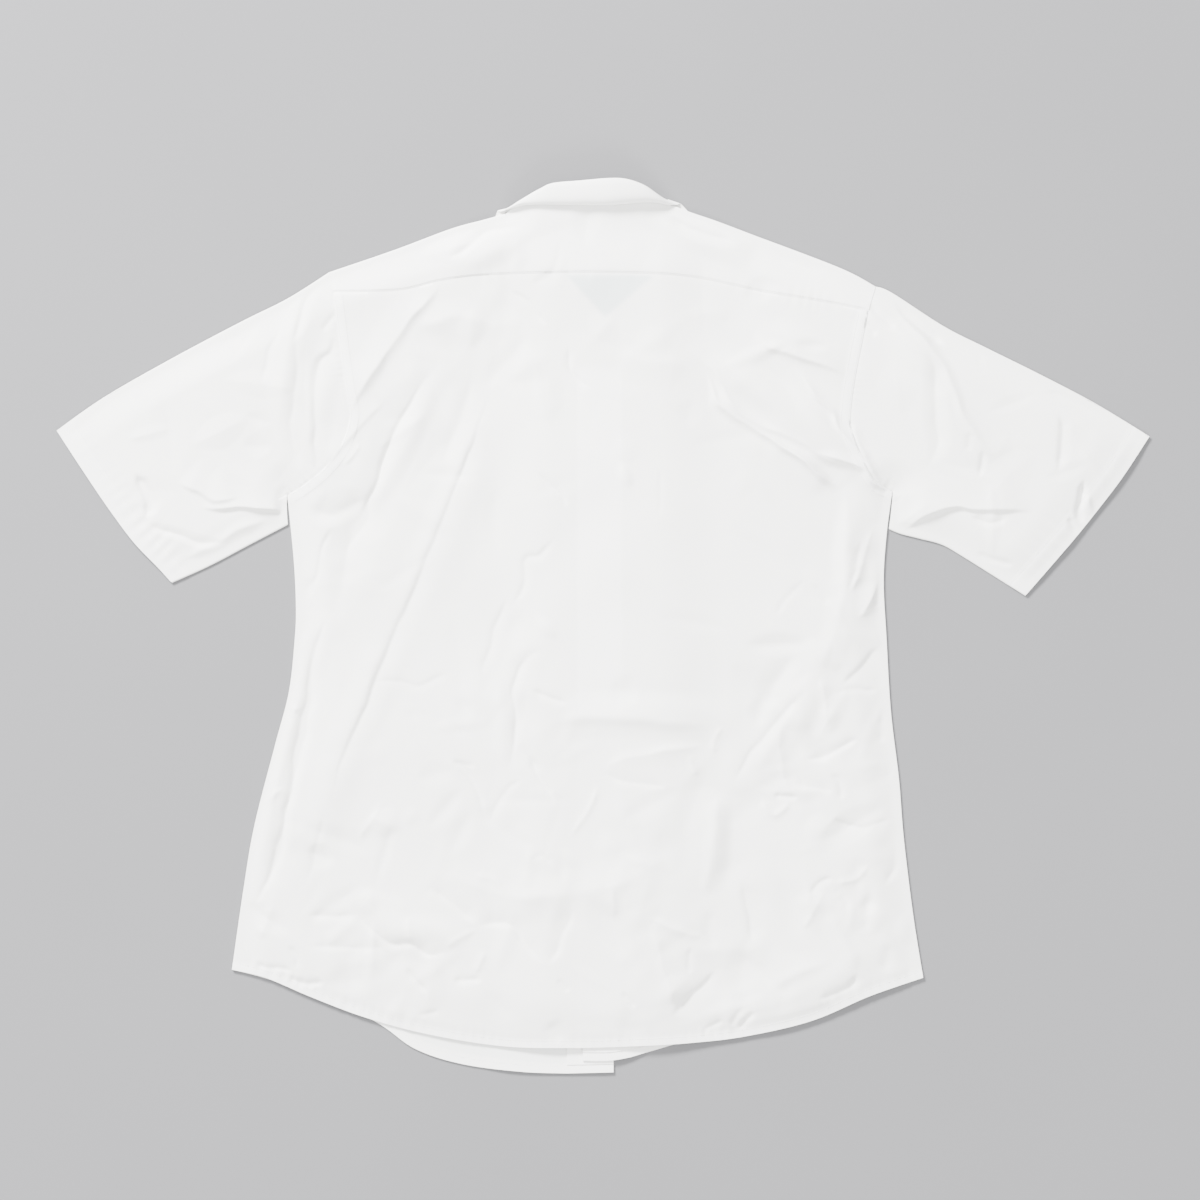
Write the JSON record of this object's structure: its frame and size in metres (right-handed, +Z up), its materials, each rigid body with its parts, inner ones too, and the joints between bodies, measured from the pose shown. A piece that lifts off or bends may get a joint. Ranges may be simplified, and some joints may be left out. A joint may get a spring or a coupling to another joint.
{
  "type": "short-sleeve shirt laid flat",
  "caption": "Crumpled white short-sleeve shirt, buttoned up and laid flat face down, with its collar standing at the back of the neck.",
  "frame": {"origin": "middle of the outline, on the surface that the shirt lies on", "axes": "+X towards the wearer's right sleeve, which is on the right from above, +Y towards the collar, +Z up, out of the shirt's back"},
  "size_m": [1.016, 0.8299, 0.0275],
  "materials": {
    "cloth": "thin white plain-weave cotton, matte, creased",
    "doubled_cloth": "the same white cotton, doubled and stiffer",
    "button": "off-white polished resin"
  },
  "bodies": {
    "root": {"back": "cloth", "yoke": "doubled_cloth", "front_left": "cloth", "facing_left": "doubled_cloth", "sleeve_left": "cloth", "front_right": "cloth", "facing_right": "doubled_cloth", "sleeve_right": "cloth", "collar_stand": "doubled_cloth", "collar_fall": "doubled_cloth", "button_1": "button", "button_2": "button", "button_3": "button", "button_4": "button", "button_5": "button", "button_6": "button", "button_7": "button"}
  },
  "joints": []
}
